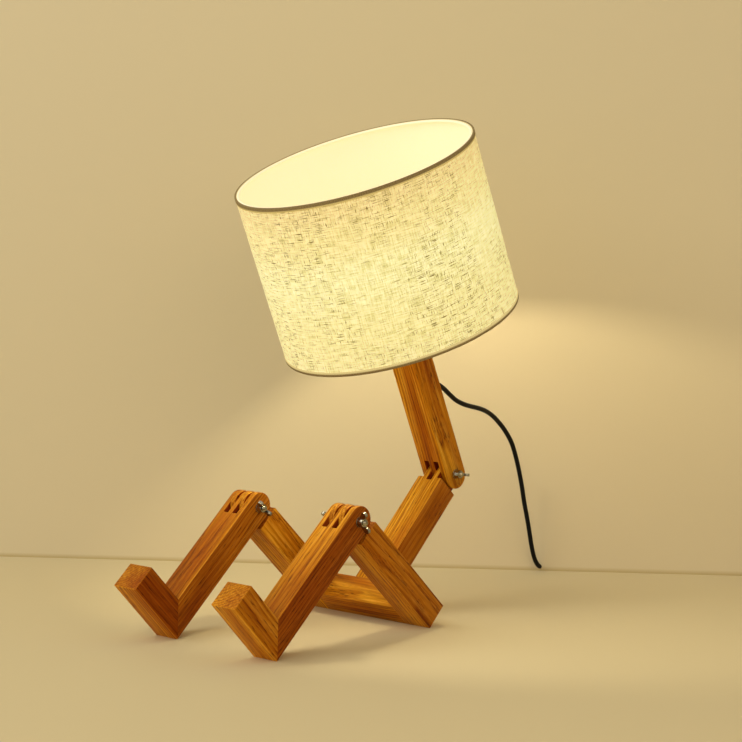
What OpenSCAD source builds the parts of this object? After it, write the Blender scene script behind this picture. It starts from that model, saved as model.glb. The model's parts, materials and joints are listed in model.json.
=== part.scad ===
// Sitting robot desk lamp: wooden bars with comb hinges at the knees and the waist,
// a straight drum shade for a head, and a mains lead with an inline switch.
// The robot faces -Y and stands on z = 0. Every hinge pin runs along X.

/* [Wooden bars] */
// Width of every bar, along the hinge pins
bar_w = 33; // [30:1:42]
// Depth of every bar, across its length
bar_d = 28; // [26:1:34]
// Hip bar between the two thighs
hip_bar_len = 110; // [90:1:150]
// Thigh, from its square end to the knee pin
thigh_len = 152; // [130:1:180]
// Shin, from the knee pin to the heel
shin_len = 159; // [140:1:175]
// Foot, from the heel to the toe
foot_len = 76; // [60:1:100]
// Lower torso, from the hip bar to the waist pin
belly_len = 152; // [130:1:180]
// Upper torso, from the waist pin to its top
chest_len = 176; // [150:1:210]

/* [Pose] */
// Lean of the thighs from the vertical
thigh_lean = 45; // [40:1:50]
// Forward lean of the upper torso
chest_lean = 22; // [10:1:30]

/* [Comb hinges] */
// Straight run of a finger past the pin, before its round end
tip_over = 2; // [0.5:0.5:4]
// Air between a finger's end and the shoulder of the other bar
shoulder_gap = 1.3; // [0.8:0.1:3]
// Air between a finger's end and the bottom of its slot
slot_gap = 4.5; // [2:0.5:8]
// Air between two neighbouring fingers
finger_gap = 0.2; // [0.1:0.05:0.5]

/* [Wing screws] */
// Shank diameter of the screws
screw_d = 5; // [4:0.5:6]
// Gap between the shank and a bore, on the radius
screw_play = 0.05; // [0.02:0.01:0.1]
// Washer diameter
washer_d = 10; // [9:0.5:16]
// Washer thickness
washer_t = 1; // [0.6:0.1:2]
// Span over the two wings
wing_span = 22; // [18:1:32]
// Height of the wings over the washer
wing_h = 10.5; // [8:0.5:16]
// Thickness of a wing
wing_t = 3; // [1.6:0.2:4]
// Height of the hub
hub_h = 6; // [4:0.5:8]
// Thread that stands out past the nut
thread_out = 3; // [1:0.5:5]

/* [Dowels] */
// Diameter of the dowels in the hip and torso joints
dowel_d = 8; // [6:0.5:9]
// Length of the dowels in the hip joints
dowel_len = 36; // [24:1:44]
// Length of the dowels between hip bar and lower torso
torso_dowel_len = 32; // [20:1:44]
// Diameter of the dowels in the mitres of the feet
mitre_dowel_d = 6; // [4:0.5:7]
// Length of the dowels in the mitres of the feet
mitre_dowel_len = 22; // [14:1:24]
// Spacing of each pair of dowels
dowel_pitch = 15; // [12:0.5:16]

/* [Shade] */
// Diameter over the rim binding
shade_d = 250; // [220:5:280]
// Height with the rim bindings
shade_h = 180; // [165:5:220]
// Bottom rim over the waist pin, along the upper torso
shade_rise = 172; // [165:1:176]
// Thickness of the linen
linen_t = 0.6; // [0.4:0.1:1]
// Thickness of the stiff liner
liner_t = 0.5; // [0.3:0.1:1]
// Thickness of the rim binding
binding_t = 0.5; // [0.3:0.1:1]
// Width of the rim binding on the outside
binding_w = 5; // [4:0.5:12]
// Diameter of the frame's wire
wire_d = 3; // [2.4:0.2:4]

/* [Lamp holder and bulb] */
// Diameter of the holder's sleeve
holder_d = 39; // [38:0.5:41]
// Height of the holder's lower cap
cap_h = 22; // [20:1:26]
// Height of the holder's sleeve
sleeve_h = 36; // [32:1:40]
// Wall of the holder's shells
holder_wall = 2; // [1.6:0.2:2.2]
// Diameter of the threaded tube between torso and holder
tube_d = 10; // [8:0.5:12]
// Length of the threaded tube in the torso
tube_deep = 16; // [10:1:30]
// Diameter of the bulb's globe
globe_d = 60; // [55:1:66]
// Length of the bulb
bulb_len = 104; // [96:1:112]
// Diameter of the bulb's screw cap
bulb_cap_d = 26; // [25:0.5:26.5]

/* [Mains lead] */
// Diameter of the lead
cord_d = 5.2; // [4.8:0.2:5.6]
// Height of the lead's exit over the waist pin, along the upper torso
exit_rise = 104; // [80:1:125]
// Length of the sleeve that guards the lead where it comes out
guard_out = 12; // [8:1:16]
// Length of the inline switch
switch_len = 56; // [52:1:64]
// Width of the inline switch
switch_w = 24; // [22:1:28]
// Height of the inline switch
switch_h = 15; // [14:1:18]
// Length of the plug's body
plug_len = 37; // [32:1:42]
// Width of the plug's body
plug_w = 35; // [30:1:38]
// Thickness of the plug's body
plug_t = 14; // [12:0.5:16]
// Diameter of the plug's pins
pin_d = 4; // [3.5:0.1:5]
// Length of the plug's pins
pin_len = 19; // [16:0.5:20]
// Spacing of the plug's pins
pin_pitch = 19; // [16:0.5:20]

/* [Hidden] */
$fn = 64;
eps = 0.01;

// Colours
wood = "#b87a33";
wood_dark = "#a5692b";
steel = "#b9bcc0";
wire_white = "#e8e6de";
linen = "#efe3bd";
binding = "#9a8a6c";
black = "#1a1a1a";

// Section of a bar, and the reach of a finger past its pin
half_d = bar_d / 2;
half_w = bar_w / 2;
layer = bar_w / 5;
tip_reach = tip_over + half_d;
shoulder = tip_reach + shoulder_gap;
slot_reach = tip_reach + slot_gap;
leg_x = hip_bar_len / 2 + half_w;

// Side view, [y, z] from the hip bar's lowest edge: t runs up a thigh, n up the lower torso
t = [-sin(thigh_lean), cos(thigh_lean)];
n = [cos(thigh_lean), sin(thigh_lean)];
knee_0 = half_d * n + thigh_len * t;
waist_0 = half_d * t + (bar_d + belly_len) * n;

// The shin leans so that its heel stands on the floor
heel_reach = sqrt(pow(half_d, 2) + pow(shin_len, 2));
shin_lean = atan(half_d / shin_len) + acos(knee_0[1] / heel_reach);

// The footprint is centred on the origin
toe_y = knee_0[0] - shin_len * sin(shin_lean) + (half_d - foot_len) * cos(shin_lean);
rim_y = waist_0[0] - shade_rise * sin(chest_lean) + shade_d / 2 * cos(chest_lean);
hip_y = -(toe_y + rim_y) / 2;
knee = knee_0 + [hip_y, 0];
waist = waist_0 + [hip_y, 0];

// Shade: the linen lies on the liner, and the binding wraps both
linen_r = shade_d / 2 - binding_t;
liner_r = linen_r - linen_t;
inside_r = liner_r - liner_t;
wire_r = wire_d / 2;
frame_r = inside_r - binding_t - wire_r;
shade_top = shade_rise + shade_h;

// Lamp holder, heights over the upper torso's top
holder_r = holder_d / 2;
collar_h = 2;
collar_r = holder_r + 4;
collar_z = cap_h + 3;
fitter_t = 1.2;
fitter_z = collar_z + collar_h;
fitter_r = holder_r + 0.6;
ring_nut_h = 6;
ring_nut_r = holder_r + 7.5;
core_z = 11;
core_h = cap_h - core_z;
shell_t = 0.4;
shell_r = bulb_cap_d / 2 + 0.3;
bulb_z = cap_h + 2.5;
tube_r = tube_d / 2;
tube_wall = 1;
tube_up = 8;

// Lead: bores in the upper torso, and the slanted exit
cord_r = cord_d / 2;
lead_r = cord_r + 1.5;
guard_r = cord_r + 1.9;
guard_nose_r = cord_r + 0.8;
guard_in = 10;
guard_fit = 0.05;
exit_slant = 45;
exit_dir = [cos(exit_slant), -sin(exit_slant)];
exit_face = [half_d, exit_rise];
nose = exit_face + guard_out * exit_dir;
bore_low = exit_rise + half_d * tan(exit_slant);
nose_w = [
    0,
    waist[0] + nose[0] * cos(chest_lean) - nose[1] * sin(chest_lean),
    waist[1] + nose[0] * sin(chest_lean) + nose[1] * cos(chest_lean)
];

// The free lead's route, from the guard's nose down to the floor and on to the switch
lead_in = 6;
low = cord_r + 0.1;
exit_way = [0, cos(exit_slant - chest_lean), -sin(exit_slant - chest_lean)];
switch_split = 7;
run_route = [
    nose_w, nose_w + 7 * exit_way, [-3, 165, 226], [-6, 177, 219], [-9, 191, 211.5],
    [-11, 206, 206], [-14, 221, 202.5], [-17, 237, 199], [-20, 252, 194.5], [-23, 267, 187.5],
    [-26, 281, 178.5], [-28, 294, 167.5], [-30, 306, 154], [-32, 315, 138.5], [-33, 322, 121],
    [-34, 328, 103], [-35, 333, 85], [-36, 339, 67], [-37, 344.5, 49], [-38, 349, 34],
    [-39, 354, 21], [-40, 360, 11], [-42, 369, 4.5], [-44, 379, low], [-48, 389, low],
    [-55, 396.5, low], [-65, 400, 3.6], [-76, 400, 5.4], [-86, 400, 6.6],
    [-92 - lead_in, 400, switch_split]
];
switch_at = [-92 - switch_len / 2, 400];

// The spare length lies in a round coil of two layers beyond the switch, with the plug beside it
coil_out_r = 41.5;
coil_in_r = 22;
coil_z = 1;
switch_end = switch_at[0] - switch_len / 2;
coil_at = [switch_end - 31, 400 - coil_out_r];
tail_route = [
    [switch_end + lead_in, 400, switch_split], [switch_end - 4, 400, 6.7],
    [switch_end - 12, 400, 5.4], [switch_end - 20, 400, 4.2], [coil_at[0], 400, coil_z + cord_r]
];
end_turns = [[-40, 0, 8.8], [-40, -7, 8.8], [-40, -17, 8], [-40, -27, 7.2], [-40, -34, 7]];
end_route = [for (p = end_turns) p + [coil_at[0], coil_at[1], 0]];
tie_t = 0.8;
tie_w = 9;
tie_turn = 320;
plug_turn = -90;
boot_len = 16;
plug_at = coil_at + [-40, -28];

// ---- Shared shapes ----

// Extrudes a side view, drawn in [y, z], along X
module across(width) {
    rotate([90, 0, 90]) linear_extrude(width, center = true) children();
}

// Puts a bar in its place: its own axes start at the pin, with -z down the bar
module at_pin(pin, turn) {
    translate([0, pin[0], pin[1]]) rotate([turn, 0, 0]) children();
}

module in_thigh() { at_pin(knee, thigh_lean) children(); }
module in_shin() { at_pin(knee, -shin_lean) children(); }
module in_lower_torso() { at_pin(waist, thigh_lean - 90) children(); }
module in_upper_torso() { at_pin(waist, chest_lean) children(); }
module over_upper_torso(rise) { in_upper_torso() translate([0, 0, chest_len + rise]) children(); }

// A ring with a rectangular section
module ring(r_out, r_in, height) {
    difference() {
        cylinder(r = r_out, h = height);
        translate([0, 0, -1]) cylinder(r = r_in, h = height + 2);
    }
}

// A rectangle with round corners
module round_rect(length, width, corner_r) {
    square([length - 2 * corner_r, width], center = true);
    square([length, width - 2 * corner_r], center = true);
    for (x = [-1, 1], y = [-1, 1])
        translate([x * (length / 2 - corner_r), y * (width / 2 - corner_r)]) circle(r = corner_r);
}

// ---- Comb hinges ----

// A bar with a round tip that hangs from its pin; front and back may end at different heights
module round_bar(front_end, back_end) {
    translate([0, 0, tip_over]) rotate([0, 90, 0]) cylinder(r = half_d, h = bar_w, center = true);
    across(bar_w) polygon([
        [-half_d, tip_over], [half_d, tip_over], [half_d, -back_end], [-half_d, -front_end]
    ]);
}

// Clears the layers from lo to hi of a bar, from above its pin down to reach
module comb_slot(lo, hi, reach) {
    translate([lo, -bar_d, -reach]) cube([hi - lo, 2 * bar_d, reach + 2 * bar_d]);
}

module pin_bore() {
    rotate([0, 90, 0]) cylinder(r = screw_d / 2 + screw_play, h = 2 * bar_w, center = true);
}

// A bar with three outer fingers
module outer_comb_bar(front_end, back_end) {
    difference() {
        round_bar(front_end, back_end);
        for (side = [-1, 1]) {
            middle = side * layer;
            half_slot = (layer + finger_gap) / 2;
            comb_slot(middle - half_slot, middle + half_slot, slot_reach);
        }
        pin_bore();
    }
}

// A bar with two inner fingers
module inner_comb_bar(end) {
    difference() {
        round_bar(end, end);
        comb_slot(-half_w - 1, (finger_gap - 3 * layer) / 2, shoulder);
        comb_slot((3 * layer - finger_gap) / 2, half_w + 1, shoulder);
        comb_slot(-(layer + finger_gap) / 2, (layer + finger_gap) / 2, slot_reach);
        pin_bore();
    }
}

// Extra diameter and length of a hole over its dowel
dowel_fit = 0.1;

// A pair of dowels or of their holes along Z, side by side along X
module dowel_pair(d, length) {
    for (side = [-1, 1]) translate([side * dowel_pitch / 2, 0, 0])
        cylinder(d = d, h = length, center = true);
}

// ---- Hips ----

// Puts a piece on the hip bar's own axes: y and z run along its two faces, from its lowest edge
module in_hip_bar() {
    translate([0, hip_y, 0]) rotate([thigh_lean, 0, 0]) children();
}

// Dowel places: in the ends of the hip bar, and under the lower torso
module hip_dowel_set(extra) {
    for (side = [-1, 1]) in_hip_bar() translate([side * hip_bar_len / 2, half_d, half_d])
        rotate([0, 90, 0]) rotate([0, 0, 90]) dowel_pair(dowel_d + extra, dowel_len + extra);
}

module torso_dowel_set(extra) {
    in_lower_torso() translate([0, 0, -belly_len])
        dowel_pair(dowel_d + extra, torso_dowel_len + extra);
}

module hip_bar() {
    color(wood) difference() {
        in_hip_bar() translate([-hip_bar_len / 2, 0, 0]) cube([hip_bar_len, bar_d, bar_d]);
        hip_dowel_set(dowel_fit);
        torso_dowel_set(dowel_fit);
    }
}

module thigh(side) {
    color(wood_dark) difference() {
        translate([side * leg_x, 0, 0]) in_thigh() inner_comb_bar(thigh_len);
        hip_dowel_set(dowel_fit);
    }
}

module thigh_left() { thigh(1); }
module thigh_right() { thigh(-1); }

module lower_torso() {
    color(wood) difference() {
        in_lower_torso() inner_comb_bar(belly_len);
        torso_dowel_set(dowel_fit);
    }
}

module hip_dowels() { color(wood) hip_dowel_set(0); }
module torso_dowels() { color(wood) torso_dowel_set(0); }

// ---- Shins and feet ----

// Dowels square to the mitre between shin and foot
module foot_dowel_set(side, extra) {
    translate([side * leg_x, 0, 0]) in_shin() translate([0, 0, half_d - shin_len])
        rotate([-45, 0, 0]) dowel_pair(mitre_dowel_d + extra, mitre_dowel_len + extra);
}

module shin(side) {
    color(wood) difference() {
        translate([side * leg_x, 0, 0]) in_shin() outer_comb_bar(shin_len - bar_d, shin_len);
        foot_dowel_set(side, dowel_fit);
    }
}

module foot(side) {
    heel = [half_d, -shin_len];
    toe_low = [half_d - foot_len, -shin_len];
    toe_high = toe_low + [0, bar_d];
    inner_corner = [-half_d, bar_d - shin_len];
    color(wood_dark) difference() {
        translate([side * leg_x, 0, 0]) in_shin()
            across(bar_w) polygon([heel, toe_low, toe_high, inner_corner]);
        foot_dowel_set(side, dowel_fit);
    }
}

module shin_left() { shin(1); }
module foot_left() { foot(1); }
module foot_dowels_left() { color(wood) foot_dowel_set(1, 0); }
module shin_right() { shin(-1); }
module foot_right() { foot(-1); }
module foot_dowels_right() { color(wood) foot_dowel_set(-1, 0); }

// ---- Wing screws, washers and wing nuts ----

// One wing in its own plane: it flares outwards to a round tip
module wing_side() {
    tip_r = 3;
    tip = [wing_span / 2 - tip_r, wing_h - tip_r];
    lean = atan2(tip[1] - hub_h / 2, tip[0]);
    polygon([
        [1, 0.6], [tip_r + 0.5, 0.6],
        tip + tip_r * [sin(lean), -cos(lean)], tip + tip_r * [-sin(lean), cos(lean)],
        [screw_d / 2 + 1, hub_h], [1, hub_h]
    ]);
    translate(tip) circle(r = tip_r);
}

// Hub with two wings, standing on z = 0
module wings() {
    cylinder(d1 = screw_d + 4.6, d2 = screw_d + 3.4, h = hub_h);
    for (turn = [0, 180]) rotate([0, 0, turn]) rotate([90, 0, 0])
        linear_extrude(wing_t, center = true) wing_side();
}

// Places a piece on one face of a bar, with its own +z pointing away from the bar
module on_face(x, pin, side, turn = 0) {
    translate([x + side * half_w, pin[0], pin[1]]) rotate([0, side * 90, 0])
        rotate([0, 0, turn]) children();
}

module washer() { ring(washer_d / 2, screw_d / 2 + 2 * screw_play, washer_t); }

// The screw's wings sit on the -X face and its thread passes through to the +X side
module wing_screw(x, pin, turn) {
    shank = bar_w + 2 * washer_t + hub_h + thread_out;
    color(steel) on_face(x, pin, -1, turn) translate([0, 0, washer_t]) {
        wings();
        translate([0, 0, -shank]) cylinder(d = screw_d, h = shank + 1);
    }
}

module washer_pair(x, pin) {
    color(steel) for (side = [-1, 1]) on_face(x, pin, side) washer();
}

module wing_nut(x, pin, turn) {
    color(steel) on_face(x, pin, 1, turn) translate([0, 0, washer_t]) difference() {
        wings();
        translate([0, 0, -1]) cylinder(d = screw_d + 2 * screw_play, h = hub_h + 2);
    }
}

module knee_screw_left() { wing_screw(leg_x, knee, -55); }
module knee_washers_left() { washer_pair(leg_x, knee); }
module knee_wing_nut_left() { wing_nut(leg_x, knee, 14); }
module knee_screw_right() { wing_screw(-leg_x, knee, 30); }
module knee_washers_right() { washer_pair(-leg_x, knee); }
module knee_wing_nut_right() { wing_nut(-leg_x, knee, 45); }
module waist_screw() { wing_screw(0, waist, -22); }
module waist_washers() { washer_pair(0, waist); }
module waist_wing_nut() { wing_nut(0, waist, 82); }

// ---- Upper torso ----

// Bores for the threaded tube, the lead and the guard at the slanted exit
module torso_bores() {
    translate([0, 0, chest_len - tube_deep]) cylinder(r = tube_r + screw_play, h = tube_deep + 1);
    translate([0, 0, bore_low - 2]) cylinder(r = lead_r, h = chest_len - bore_low);
    slanted() cylinder(r = lead_r - 0.5, h = half_d / cos(exit_slant) + 1);
    slanted() translate([0, 0, -20]) cylinder(r = guard_r + guard_fit, h = 20 + guard_in);
}

// Own axes at the exit: z runs in along the slanted bore
module slanted() {
    translate([0, exit_face[0], exit_face[1]]) rotate([90 - exit_slant, 0, 0]) children();
}

module upper_torso() {
    color(wood) difference() {
        in_upper_torso() difference() {
            mirror([0, 0, 1]) outer_comb_bar(chest_len, chest_len);
            torso_bores();
        }
    }
}

// ---- Lamp holder ----

module holder_tube() {
    color(steel) over_upper_torso(-tube_deep) ring(tube_r, tube_r - tube_wall, tube_deep + tube_up);
}

// Lower cap: a cup with the threaded tube in its floor
module holder_cap() {
    color(black) over_upper_torso(0) difference() {
        rotate_extrude() polygon([
            [tube_r + screw_play, 0], [holder_r - 5, 0], [holder_r, 5], [holder_r, cap_h],
            [holder_r - holder_wall, cap_h], [holder_r - holder_wall, 6],
            [holder_r - 6, holder_wall + 0.5], [tube_r + screw_play, holder_wall + 0.5]
        ]);
    }
}

// Insulating core: a disc under the screw shell, with a passage for the lead's wires
module holder_core() {
    core_r = holder_r - holder_wall;
    color("#e8e4d8") over_upper_torso(core_z) difference() {
        union() {
            cylinder(r = core_r, h = core_h);
            cylinder(r = shell_r + 1.6, h = core_h + 3);
        }
        translate([0, 0, core_h]) cylinder(r = shell_r + shell_t, h = 4);
        for (side = [-1, 1]) translate([side * (shell_r - 4), 0, -1])
            cylinder(r = 1.6, h = core_h + 2);
    }
}

module holder_screw_shell() {
    color("#c9a24a") over_upper_torso(cap_h)
        ring(shell_r + shell_t, shell_r, sleeve_h - 8);
}

// Foot contact under the bulb, and the two terminal screws in the core
module holder_contacts() {
    color("#c9a24a") over_upper_torso(cap_h) {
        cylinder(r = 4, h = bulb_z - cap_h);
        for (side = [-1, 1]) translate([side * (shell_r - 4), 0, -core_h - 3])
            cylinder(r = 1.5, h = core_h + 2.5);
    }
}

module holder_sleeve() {
    color(black) over_upper_torso(cap_h) difference() {
        union() {
            cylinder(r = holder_r, h = sleeve_h);
            translate([0, 0, collar_z - cap_h]) cylinder(r = collar_r, h = collar_h);
        }
        translate([0, 0, -1]) cylinder(r = holder_r - holder_wall, h = sleeve_h - 1);
        cylinder(r = bulb_cap_d / 2 + 1.2, h = sleeve_h + 1);
    }
}

module shade_ring_nut() {
    color(black) over_upper_torso(fitter_z + fitter_t) difference() {
        union() {
            cylinder(r = ring_nut_r, h = ring_nut_h);
            for (turn = [0 : 30 : 330]) rotate([0, 0, turn])
                translate([ring_nut_r, 0, 0]) cylinder(r = 1.2, h = ring_nut_h);
        }
        translate([0, 0, -1]) cylinder(r = holder_r + screw_play, h = ring_nut_h + 2);
    }
}

// ---- Shade ----

// Heights of the two rim wires' centres, along the upper torso
low_wire = shade_rise + binding_t + wire_r;
high_wire = shade_top - binding_t - wire_r;

// Fitter ring with three spokes that run down to the bottom wire
module shade_spider() {
    spoke = wire_r * 0.8;
    spoke_end = collar_r + spoke / 2;
    drop = fitter_z - spoke / 2 + chest_len - low_wire;
    run = frame_r - spoke_end;
    color(wire_white) over_upper_torso(0) {
        translate([0, 0, fitter_z]) ring(collar_r + 3, fitter_r, fitter_t);
        for (turn = [12 : 120 : 252]) rotate([0, 0, turn])
            translate([frame_r, 0, low_wire - chest_len]) rotate([0, -atan2(run, drop), 0])
                cylinder(r = spoke, h = norm([run, drop]));
    }
}

module rim_wire(rise) {
    color(wire_white) in_upper_torso() translate([0, 0, rise])
        rotate_extrude() translate([frame_r, 0]) circle(r = wire_r);
}

module shade_bottom_wire() { rim_wire(low_wire); }
module shade_top_wire() { rim_wire(high_wire); }

module drum(r_out, thickness) {
    in_upper_torso() translate([0, 0, shade_rise + binding_t])
        ring(r_out, r_out - thickness, shade_h - 2 * binding_t);
}

module shade_liner() { color("#fff8e0") drum(liner_r, liner_t); }
module shade_linen() { color(linen) drum(linen_r, linen_t); }

// A tape folded over a rim: outside, over the edge, and a shorter turn inside
module rim_binding() {
    inside_w = binding_w - 2;
    rotate_extrude() polygon([
        [linen_r, binding_w], [linen_r + binding_t, binding_w], [linen_r + binding_t, 0],
        [inside_r - binding_t, 0], [inside_r - binding_t, inside_w], [inside_r, inside_w],
        [inside_r, binding_t], [linen_r, binding_t]
    ]);
}

module rim_binding_bottom() {
    color(binding) in_upper_torso() translate([0, 0, shade_rise]) rim_binding();
}

module rim_binding_top() {
    color(binding) in_upper_torso() translate([0, 0, shade_top]) mirror([0, 0, 1]) rim_binding();
}

// ---- Bulb ----

globe_r = globe_d / 2;
neck_r = bulb_cap_d / 2;
neck_angle = 40;
cap_len = 26;
globe_z = bulb_len - globe_r;
cone_top = globe_z - globe_r * sin(neck_angle);
cone_drop = (globe_r * cos(neck_angle) - neck_r) * tan(90 - neck_angle);

// Globe, neck cone and neck, drawn inwards by a wall
module globe_shape(wall) {
    translate([0, 0, globe_z]) sphere(r = globe_r - wall);
    translate([0, 0, cone_top - cone_drop])
        cylinder(r1 = neck_r - wall, r2 = globe_r * cos(neck_angle) - wall, h = cone_drop);
    translate([0, 0, cap_len]) cylinder(r = neck_r - wall, h = cone_top - cone_drop - cap_len + eps);
}

module bulb_globe() {
    color("#fff6d8") over_upper_torso(bulb_z) difference() {
        globe_shape(0);
        globe_shape(1);
        translate([0, 0, cap_len - 1]) cylinder(r = neck_r - 1, h = 2);
    }
}

module bulb_screw_cap() {
    color(steel) over_upper_torso(bulb_z) rotate_extrude() polygon([
        [5, 1.6], [7, 1.6], [neck_r, 5], [neck_r, cap_len], [neck_r - 0.8, cap_len],
        [neck_r - 0.8, 5.4], [7, 2.4], [5, 2.4]
    ]);
}

module bulb_foot_contact() {
    color("#c9a24a") over_upper_torso(bulb_z) cylinder(r = 5, h = 2.4);
}

// Aluminium board with its light sources, across the neck
module bulb_light_board() {
    color("#e8e4d8") over_upper_torso(bulb_z + cap_len) {
        translate([0, 0, 2]) cylinder(r = neck_r - 1.1, h = 1.6);
        for (turn = [0 : 60 : 300]) rotate([0, 0, turn]) translate([7, 0, 3.6])
            translate([-1.4, -1.4, 0]) cube([2.8, 2.8, 0.8]);
    }
}

// ---- Lead ----

function unit(v) = v / norm(v);

// Way the route runs at one of its points
function heading(route, i) =
    unit(route[min(i + 1, len(route) - 1)] - route[max(i - 1, 0)]);

// One ring of points around a route, square to its heading
function cord_ring(at, way, r, sides) =
    let (across_way = unit(cross(way, abs(way[2]) > 0.9 ? [0, 1, 0] : [0, 0, 1])),
         up_way = cross(across_way, way))
    [for (k = [0 : sides - 1])
        at + r * (cos(360 * k / sides) * across_way + sin(360 * k / sides) * up_way)];

// A tube along a route, as one closed surface
module cord_tube(route, r = cord_r, sides = 10) {
    count = len(route);
    points = [for (i = [0 : count - 1]) each cord_ring(route[i], heading(route, i), r, sides)];
    walls = [for (i = [0 : count - 2], k = [0 : sides - 1])
        [i * sides + k, i * sides + (k + 1) % sides,
         (i + 1) * sides + (k + 1) % sides, (i + 1) * sides + k]];
    start = [for (k = [sides - 1 : -1 : 0]) k];
    end = [for (k = [0 : sides - 1]) (count - 1) * sides + k];
    polyhedron(points, concat(walls, [start, end]));
}

// Tapered rubber sleeve in the slanted bore, round the lead
module lead_guard() {
    color(black) in_upper_torso() slanted() difference() {
        union() {
            translate([0, 0, -guard_out])
                cylinder(r1 = guard_nose_r, r2 = guard_r, h = guard_out);
            cylinder(r = guard_r, h = guard_in);
        }
        translate([0, 0, -guard_out - 1]) cylinder(r = cord_r + 0.1, h = guard_out + guard_in + 2);
    }
}

// Lead from the guard's nose up the torso's bore into the holder
module inner_lead() {
    turn_in = 6;
    corner = [0, bore_low];
    in_bore = [for (along = [guard_out, 0, -8]) exit_face + along * exit_dir];
    bend = [corner + turn_in * exit_dir, corner + [0.8, 1], corner + [0, turn_in]];
    up = [for (rise = [bore_low + 20 : 18 : chest_len - 4]) [0, rise]];
    route = concat(in_bore, bend, up, [[0, chest_len + core_z]]);
    color(black) in_upper_torso() cord_tube([for (p = route) [0, p[0], p[1]]]);
}

module cord_run() { color(black) cord_tube(run_route); }
module cord_tail() { color(black) cord_tube(tail_route); }
module cord_end() { color(black) cord_tube(end_route); }

module cord_coil() {
    color(black) translate([coil_at[0], coil_at[1], coil_z])
        ring(coil_out_r + cord_r, coil_in_r - cord_r, 2 * cord_d);
}

// A strap round the coil's turns
module coil_tie() {
    fit = 0.7;
    band = coil_out_r - coil_in_r + cord_d;
    color(black) translate([coil_at[0], coil_at[1], 0]) rotate([0, 0, tie_turn])
        translate([(coil_out_r + coil_in_r) / 2, 0, 0]) rotate([90, 0, 0])
            linear_extrude(tie_w, center = true) translate([0, coil_z + cord_d]) difference() {
                square([band + 2 * (fit + tie_t), 2 * (coil_z + cord_d)], center = true);
                square([band + 2 * fit, 2 * (cord_d + coil_z - tie_t)], center = true);
            }
}

// ---- Inline switch ----

switch_wall = 1.6;
switch_corner = 6;
rocker_l = 18;
rocker_w = 12;
rocker_z = switch_h - 2.6;
rocker_tilt = 7;
rocker_gap = 0.3;
screw_x = switch_len / 2 - 8;
screw_y = switch_w / 2 - 6;

module in_switch() { translate([switch_at[0], 400, 0]) children(); }

module switch_outline(inset) {
    round_rect(switch_len - 2 * inset, switch_w - 2 * inset, switch_corner - inset);
}

// Passage for the lead through each end of the housing
module lead_passages() {
    for (end = [-1, 1]) translate([end * switch_len / 2, 0, switch_split]) rotate([0, 90, 0])
        cylinder(r = cord_r + 0.15, h = 2 * lead_in + 2, center = true);
}

// Places its children at two opposite corners
module at_switch_screws() {
    for (side = [-1, 1]) translate([side * screw_x, side * screw_y, 0]) children();
}

module switch_base() {
    color(black) in_switch() difference() {
        union() {
            difference() {
                linear_extrude(switch_split) switch_outline(0);
                translate([0, 0, switch_wall]) linear_extrude(switch_split) switch_outline(switch_wall);
            }
            at_switch_screws() cylinder(r = 3.4, h = switch_split);
        }
        at_switch_screws() translate([0, 0, -1]) cylinder(r = 1.6, h = switch_split + 2);
        at_switch_screws() translate([0, 0, -1]) cylinder(r = 2.8, h = 3.2);
        lead_passages();
    }
}

module switch_cover() {
    opening_l = rocker_l + 2 * rocker_gap;
    opening_w = rocker_w + 2 * rocker_gap;
    collar_low = switch_h - 6;
    color(black) in_switch() difference() {
        union() {
            translate([0, 0, switch_split]) difference() {
                linear_extrude(switch_h - switch_split) switch_outline(0);
                translate([0, 0, -1]) linear_extrude(switch_h - switch_split - switch_wall + 1)
                    switch_outline(switch_wall);
            }
            translate([0, 0, collar_low]) linear_extrude(switch_h - collar_low - 0.5)
                square([opening_l + 3, opening_w + 3], center = true);
            at_switch_screws() translate([0, 0, switch_split])
                cylinder(r = 3.4, h = switch_h - switch_split - 1);
        }
        translate([0, 0, collar_low - 1]) linear_extrude(switch_h)
            square([opening_l, opening_w], center = true);
        translate([0, 0, rocker_z]) rotate([90, 0, 0])
            cylinder(r = 1.25 + screw_play, h = rocker_w + 2.6, center = true);
        at_switch_screws() translate([0, 0, switch_split - 1]) cylinder(r = 1.25, h = 6);
        lead_passages();
    }
}

// Rocker: a cap that turns on two trunnions, pressed down on its -X side
module switch_rocker() {
    half_l = rocker_l / 2 - 0.6;
    crown = switch_h - rocker_z + 0.6;
    rise = (half_l) * tan(rocker_tilt);
    color("#262626") in_switch() translate([0, 0, rocker_z]) rotate([0, -rocker_tilt, 0]) {
        rotate([90, 0, 0]) linear_extrude(rocker_w, center = true) polygon([
            [-half_l, -2.2], [half_l, -2.2], [half_l, crown + rise - 1.2],
            [0, crown - 1.2], [-half_l, crown + rise - 1.2]
        ]);
        rotate([90, 0, 0]) cylinder(r = 1.25, h = rocker_w + 2.4, center = true);
    }
}

module switch_screws() {
    color(steel) in_switch() at_switch_screws() {
        translate([0, 0, 0.4]) cylinder(r = 2.6, h = 1.8);
        translate([0, 0, 2.2]) cylinder(r = 1.2, h = 9);
    }
}

// Two brass strips on the housing's floor, with their clamp blocks
module switch_terminals() {
    color("#c9a24a") in_switch() for (side = [-1, 1])
        translate([0, side * 4.4, switch_wall]) {
            translate([-14, -1.2, 0]) cube([28, 2.4, 0.8]);
            for (end = [-1, 1]) translate([end * 11 - 2.5, -1.2, 0]) cube([5, 2.4, 3.2]);
        }
}

// ---- Plug ----

// Depth of the pins' thinner roots in the body
pin_root = 12;

module in_plug() {
    translate([plug_at[0], plug_at[1], plug_t / 2]) rotate([0, 0, plug_turn]) children();
}

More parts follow.
